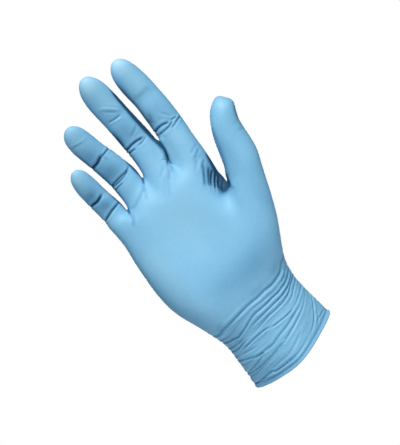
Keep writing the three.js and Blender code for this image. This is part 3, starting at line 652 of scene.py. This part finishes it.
def fold_cuff(place, outwards, inner, round_angle, height, cuff, fold_depth):
    """The folds round the cuff: how far each place moves outwards, and its painted shade"""
    x = place[:, 0]
    z = place[:, 2]
    seen = np.flatnonzero(~inner & (outwards[:, 1] < -0.05) & (height < 75.0))

    def on_sleeve(right, up):
        nearest = seen[np.argmin((x[seen] - right) ** 2 + (z[seen] - up) ** 2)]
        angle = round_angle[nearest]
        return (angle - 360.0 if angle > 300.0 else angle), height[nearest]

    folds = []
    for line, left, right, width, depth, lips in CUFF_FOLDS:
        run = [on_sleeve(*point) for point in line]
        run_on(run, left, right)
        folds.append((run, width, depth, lips))
    move = np.zeros(len(place))
    shade = np.zeros(len(place))
    for run, width, depth, lips in folds + BACK_FOLDS:
        flat = [(angle * MM_PER_DEGREE, up) for angle, up in run]
        middle = 0.5 * (run[0][0] + run[-1][0])
        turned = (round_angle - middle + 180.0) % 360.0 - 180.0 + middle
        shift, valley = press_line(turned * MM_PER_DEGREE, height, inner, flat, width, depth, lips)
        move += fold_depth * cuff * shift
        # Painted shade in each fold's valley
        shade += CUFF_SHADE * cuff * valley * depth
    return move, shade


def roll_rim(height, inner):
    """The rolled rim, a thinner roll with a groove over it: how far each place moves, and its painted shade
    """
    sink = 0.45
    roll = smooth_step(3.6 - height)
    groove = np.exp(-(((height - 3.7) / 0.6) ** 2))
    return -sink * (roll + groove), GROOVE_SHADE * groove * np.where(inner, 0.0, 1.0)


def ripple_film(place, round_angle, height, cuff, wrinkle_height):
    """How far the small wrinkles of the cuff and the slow unevenness of the rest move each place"""
    move = np.zeros(len(place))
    unevenness = 0.12
    for i, spot in enumerate(place):
        if cuff[i] > 0.01:
            turn = math.radians(round_angle[i])
            rise = (height[i] - 0.05 * spot[0]) * 0.34
            wrinkle = Vector((2.2 * math.cos(turn), 2.2 * math.sin(turn), rise))
            ripple = noise.noise(wrinkle) + 0.5 * noise.noise(wrinkle * 2.3 + Vector((3.1, 1.7, 0.4)))
            move[i] += cuff[i] * ripple * wrinkle_height / MM * 1.6
        if cuff[i] < 0.5:
            move[i] += unevenness * noise.noise(Vector(spot) * 0.09)
    return move


def fold_film(bm, settings):
    """Presses creases, folds and pockets into both skins, and writes each point's painted shade and light"""
    bm.normal_update()
    place = np.array([vert.co[:] for vert in bm.verts]) / MM
    outwards = np.array([vert.normal[:] for vert in bm.verts])
    inner = np.array([all(face.material_index == 1 for face in vert.link_faces) for vert in bm.verts])
    outwards[inner] *= -1.0
    close_touch(place, outwards)
    sharpen_web(place)
    pinch_rim(place)

    round_angle, height, cuff = cuff_places(place, outwards)
    front_move, front_shade = press_front(place, outwards, inner, settings.crease_depth)
    cuff_move, cuff_shade = fold_cuff(place, outwards, inner, round_angle, height, cuff, settings.fold_depth)
    rim_move, rim_shade = roll_rim(height, inner)
    ripples = ripple_film(place, round_angle, height, cuff, settings.wrinkle_height)
    move = front_move + cuff_move + rim_move + ripples
    # Painted shade above 0, painted light under 0
    shade = np.clip(front_shade + cuff_shade + rim_shade, -1.0, 1.0)

    moved = (place + outwards * move[:, None]) * MM
    layer = bm.verts.layers.float.new("painted_shade_and_light")
    for i, vert in enumerate(bm.verts):
        vert.co = moved[i]
        vert[layer] = float(shade[i])


def add_node(tree, kind, place, **values):
    """One shader node, with its settings"""
    node = tree.nodes.new(kind)
    node.location = place
    for name, value in values.items():
        setattr(node, name, value)
    return node


def film_grain_group():
    """Shader group for the film's surface: uneven tint, uneven gloss and a fine woven grain"""
    group = bpy.data.node_groups.new("Film grain", "ShaderNodeTree")
    face = group.interface
    face.new_socket(name="Position", in_out="INPUT", socket_type="NodeSocketVector")
    face.new_socket(name="Grain scale", in_out="INPUT", socket_type="NodeSocketFloat")
    face.new_socket(name="Tint", in_out="OUTPUT", socket_type="NodeSocketFloat")
    face.new_socket(name="Gloss", in_out="OUTPUT", socket_type="NodeSocketFloat")
    face.new_socket(name="Height", in_out="OUTPUT", socket_type="NodeSocketFloat")
    start = add_node(group, "NodeGroupInput", (-900, 0))
    end = add_node(group, "NodeGroupOutput", (600, 0))

    clouds = add_node(group, "ShaderNodeTexNoise", (-600, 300))
    clouds.inputs["Scale"].default_value = 38.0
    clouds.inputs["Detail"].default_value = 3.0
    mottle = add_node(group, "ShaderNodeTexNoise", (-600, 50))
    mottle.inputs["Scale"].default_value = 420.0
    mottle.inputs["Detail"].default_value = 4.0
    grain = add_node(group, "ShaderNodeTexNoise", (-600, -200))
    grain.inputs["Detail"].default_value = 2.0
    grain.inputs["Roughness"].default_value = 0.6
    pimples = add_node(group, "ShaderNodeTexVoronoi", (-600, -450), feature="SMOOTH_F1")
    for texture in (clouds, mottle, grain, pimples):
        group.links.new(start.outputs["Position"], texture.inputs["Vector"])
    group.links.new(start.outputs["Grain scale"], grain.inputs["Scale"])
    group.links.new(start.outputs["Grain scale"], pimples.inputs["Scale"])

    tint = add_node(group, "ShaderNodeMath", (-300, 300), operation="MULTIPLY_ADD")
    tint.inputs[1].default_value = 0.6
    group.links.new(clouds.outputs["Fac"], tint.inputs[0])
    softer = add_node(group, "ShaderNodeMath", (-300, 120), operation="MULTIPLY")
    softer.inputs[1].default_value = 0.4
    group.links.new(mottle.outputs["Fac"], softer.inputs[0])
    group.links.new(softer.outputs[0], tint.inputs[2])
    group.links.new(tint.outputs[0], end.inputs["Tint"])

    gloss = add_node(group, "ShaderNodeMath", (-300, -50), operation="MULTIPLY_ADD")
    gloss.inputs[1].default_value = 0.5
    gloss.inputs[2].default_value = 0.25
    group.links.new(mottle.outputs["Fac"], gloss.inputs[0])
    group.links.new(gloss.outputs[0], end.inputs["Gloss"])

    height = add_node(group, "ShaderNodeMath", (-300, -300), operation="MULTIPLY_ADD")
    height.inputs[1].default_value = 0.7
    group.links.new(grain.outputs["Fac"], height.inputs[0])
    group.links.new(pimples.outputs["Distance"], height.inputs[2])
    group.links.new(height.outputs[0], end.inputs["Height"])
    return group


def nitrile_material(name, group, settings, painted_shade_share, grain_lift):
    """Satin nitrile film, with painted shade, darker and bluer, in its folds and painted light on lit parts
    """
    material = bpy.data.materials.new(name)
    material.use_nodes = True
    tree = material.node_tree
    tree.nodes.clear()
    out = add_node(tree, "ShaderNodeOutputMaterial", (700, 0))
    skin = add_node(tree, "ShaderNodeBsdfPrincipled", (400, 0))
    tree.links.new(skin.outputs["BSDF"], out.inputs["Surface"])
    place = add_node(tree, "ShaderNodeTexCoord", (-900, 0))
    grain = add_node(tree, "ShaderNodeGroup", (-650, 0), node_tree=group)
    grain.inputs["Grain scale"].default_value = 1.0 / settings.grain_size
    tree.links.new(place.outputs["Object"], grain.inputs["Position"])

    tones = add_node(tree, "ShaderNodeValToRGB", (-350, 250))
    film = settings.film_colour
    tones.color_ramp.elements[0].position = 0.25
    tones.color_ramp.elements[0].color = (*(a * b for a, b in zip(film, DARK_CLOUD)), 1.0)
    tones.color_ramp.elements[1].position = 0.75
    tones.color_ramp.elements[1].color = (*(min(a * b, 1.0) for a, b in zip(film, LIGHT_CLOUD)), 1.0)
    tree.links.new(grain.outputs["Tint"], tones.inputs["Fac"])

    # The point's painted shade (above 0) and painted light (under 0)
    fold = add_node(tree, "ShaderNodeAttribute", (-650, -250), attribute_name="painted_shade_and_light")
    depth = add_node(tree, "ShaderNodeMath", (-350, -100), operation="MULTIPLY", use_clamp=True)
    depth.inputs[1].default_value = painted_shade_share
    tree.links.new(fold.outputs["Fac"], depth.inputs[0])
    # Painted light: mixes towards the lighter painted light colour where the value is under 0
    painted_light_share = add_node(tree, "ShaderNodeMath", (-350, 50), operation="MULTIPLY", use_clamp=True)
    painted_light_share.inputs[1].default_value = -1.0
    tree.links.new(fold.outputs["Fac"], painted_light_share.inputs[0])
    lighter = add_node(tree, "ShaderNodeMix", (-150, 250), data_type="RGBA")
    lighter.inputs[MIX_SECOND].default_value = (*settings.painted_light_colour, 1.0)
    tree.links.new(painted_light_share.outputs[0], lighter.inputs[0])
    tree.links.new(tones.outputs["Color"], lighter.inputs[MIX_FIRST])
    # Painted shade: mixes towards the shade colour and, deeper, the darker fold shadow colour
    colour = add_node(tree, "ShaderNodeMix", (0, 200), data_type="RGBA")
    painted_shade_tone = add_node(tree, "ShaderNodeMix", (-150, 50), data_type="RGBA")
    painted_shade_tone.inputs[MIX_FIRST].default_value = (*settings.shade_colour, 1.0)
    painted_shade_tone.inputs[MIX_SECOND].default_value = (*settings.fold_shadow_colour, 1.0)
    tree.links.new(depth.outputs[0], painted_shade_tone.inputs[0])
    tree.links.new(painted_shade_tone.outputs[MIX_RESULT], colour.inputs[MIX_SECOND])
    tree.links.new(depth.outputs[0], colour.inputs[0])
    tree.links.new(lighter.outputs[MIX_RESULT], colour.inputs[MIX_FIRST])
    tree.links.new(colour.outputs[MIX_RESULT], skin.inputs["Base Color"])

    rough = add_node(tree, "ShaderNodeMapRange", (0, -50))
    rough.inputs["From Min"].default_value = 0.35
    rough.inputs["From Max"].default_value = 0.65
    rough.inputs["To Min"].default_value = 0.42
    rough.inputs["To Max"].default_value = 0.54
    tree.links.new(grain.outputs["Gloss"], rough.inputs["Value"])
    tree.links.new(rough.outputs["Result"], skin.inputs["Roughness"])

    bump = add_node(tree, "ShaderNodeBump", (0, -300))
    bump.inputs["Strength"].default_value = 1.0
    bump.inputs["Distance"].default_value = grain_lift
    tree.links.new(grain.outputs["Height"], bump.inputs["Height"])
    tree.links.new(bump.outputs["Normal"], skin.inputs["Normal"])
    skin.inputs["IOR"].default_value = 1.48
    skin.inputs["Specular IOR Level"].default_value = 0.3
    return material


class GLOVE_OT_film(bpy.types.Operator):
    """Makes the folded film of the glove over its solid form"""

    bl_idname = "glove.film"
    bl_label = "Glove film"

    def execute(self, context):
        settings = context.scene.glove_film
        bm = quads_of_glove(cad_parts["glove"])
        mark_inside(bm)
        ease_cuff(bm)
        bm = round_off(bm, "glove_film")
        split_finer(bm, lambda face: True)
        ease_flanks(bm)
        split_finer(bm, needs_detail)
        fold_film(bm, settings)
        ease_gap_foot(bm)
        mesh = bpy.data.meshes.new("glove_film")
        for face in bm.faces:
            face.smooth = True
        bm.to_mesh(mesh)
        bm.free()
        film = bpy.data.objects.new("glove_film", mesh)
        context.scene.collection.objects.link(film)
        group = film_grain_group()
        mesh.materials.append(
            nitrile_material("Nitrile outside", group, settings, painted_shade_share=0.95, grain_lift=0.00005))
        mesh.materials.append(
            nitrile_material("Nitrile inside", group, settings, painted_shade_share=0.30, grain_lift=0.00003))
        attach(film, "root")
        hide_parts("glove")
        return {"FINISHED"}


def soft_light(name, place, size, power, colour):
    """A large soft light that the camera doesn't see"""
    lamp = bpy.data.lights.new(name, "AREA")
    lamp.shape = "DISK"
    lamp.size = size
    lamp.energy = power
    lamp.color = colour
    light = bpy.data.objects.new(name, lamp)
    light.location = place
    light.rotation_euler = (AIM - Vector(place)).to_track_quat("-Z", "Y").to_euler()
    light.visible_camera = False
    bpy.context.scene.collection.objects.link(light)


def white_world(strength, colour):
    """White behind the glove for the camera, and an even fill light for everything else"""
    world = bpy.data.worlds.new("Studio")
    world.use_nodes = True
    tree = world.node_tree
    tree.nodes.clear()
    out = add_node(tree, "ShaderNodeOutputWorld", (500, 0))
    mixed = add_node(tree, "ShaderNodeMixShader", (250, 0))
    path = add_node(tree, "ShaderNodeLightPath", (0, 250))
    fill = add_node(tree, "ShaderNodeBackground", (0, 0))
    fill.inputs["Color"].default_value = (*colour, 1.0)
    fill.inputs["Strength"].default_value = strength
    seen = add_node(tree, "ShaderNodeBackground", (0, -150))
    seen.inputs["Color"].default_value = (1.0, 1.0, 1.0, 1.0)
    seen.inputs["Strength"].default_value = 1.0
    tree.links.new(path.outputs["Is Camera Ray"], mixed.inputs[0])
    tree.links.new(fill.outputs[0], mixed.inputs[1])
    tree.links.new(seen.outputs[0], mixed.inputs[2])
    tree.links.new(mixed.outputs[0], out.inputs["Surface"])
    return world


class GLOVE_OT_stage(bpy.types.Operator):
    """Makes the floor, the soft lights and the camera"""

    bl_idname = "glove.stage"
    bl_label = "Glove stage"

    def execute(self, context):
        settings = context.scene.glove_stage
        scene = context.scene
        bm = bmesh.new()
        bmesh.ops.create_circle(bm, cap_ends=True, cap_tris=False, segments=128,
                                radius=settings.floor_radius)
        bmesh.ops.translate(bm, verts=bm.verts, vec=(0.0, -0.02, -settings.floor_drop))
        mesh = bpy.data.meshes.new("pale_floor")
        bm.to_mesh(mesh)
        bm.free()
        floor = bpy.data.objects.new("pale_floor", mesh)
        scene.collection.objects.link(floor)
        paint = bpy.data.materials.new("Pale floor")
        paint.use_nodes = True
        coat = paint.node_tree.nodes["Principled BSDF"]
        coat.inputs["Base Color"].default_value = (*settings.floor_colour, 1.0)
        coat.inputs["Roughness"].default_value = 0.8
        mesh.materials.append(paint)

        soft_light("Key", KEY_PLACE, KEY_SIZE, settings.key_power, KEY_COLOUR)
        soft_light("Back fill", BACK_PLACE, BACK_SIZE, settings.key_power * BACK_SHARE, BACK_COLOUR)
        scene.world = white_world(settings.fill_strength, settings.fill_colour)

        lens = bpy.data.cameras.new("Camera")
        lens.lens = settings.camera_lens
        lens.sensor_width = SENSOR_WIDTH
        lens.clip_end = 20.0
        distance = settings.frame_height * settings.camera_lens / SENSOR_WIDTH
        roll = settings.camera_roll
        right = Vector((math.cos(roll), 0.0, -math.sin(roll)))
        up = Vector((math.sin(roll), 0.0, math.cos(roll)))
        back = Vector((0.0, -1.0, 0.0))
        turn = Matrix((right, up, back)).transposed().to_4x4()
        camera = bpy.data.objects.new("Camera", lens)
        camera.matrix_world = Matrix.Translation(AIM + back * distance) @ turn
        scene.collection.objects.link(camera)
        scene.camera = camera
        scene.view_settings.view_transform = "Standard"
        return {"FINISHED"}


class GLOVE_PT_panel(bpy.types.Panel):
    """Lists the glove's pieces and their settings"""

    bl_idname = "GLOVE_PT_panel"
    bl_label = "Nitrile exam glove"
    bl_space_type = "VIEW_3D"
    bl_region_type = "UI"
    bl_category = "Glove"

    def draw(self, context):
        layout = self.layout
        film = context.scene.glove_film
        layout.label(text="Film")
        for name in ("crease_depth", "fold_depth", "wrinkle_height", "film_colour", "shade_colour",
                     "fold_shadow_colour", "painted_light_colour", "grain_size"):
            layout.prop(film, name)
        layout.operator("glove.film")
        stage = context.scene.glove_stage
        layout.label(text="Stage")
        for name in ("camera_roll", "camera_lens", "frame_height", "floor_radius", "floor_drop",
                     "floor_colour", "key_power", "fill_strength", "fill_colour"):
            layout.prop(stage, name)
        layout.operator("glove.stage")


CLASSES = (GloveFilmSettings, GloveStageSettings, GLOVE_OT_film, GLOVE_OT_stage, GLOVE_PT_panel)


def register():
    """Registers the classes, and hangs their settings on the scene"""
    for item in CLASSES:
        bpy.utils.register_class(item)
    bpy.types.Scene.glove_film = PointerProperty(type=GloveFilmSettings)
    bpy.types.Scene.glove_stage = PointerProperty(type=GloveStageSettings)


def unregister():
    """Takes the settings and the classes away again"""
    del bpy.types.Scene.glove_stage
    del bpy.types.Scene.glove_film
    for item in reversed(CLASSES):
        bpy.utils.unregister_class(item)


def main():
    register()
    bpy.ops.glove.film()
    bpy.ops.glove.stage()


if __name__ == "__main__":
    main()
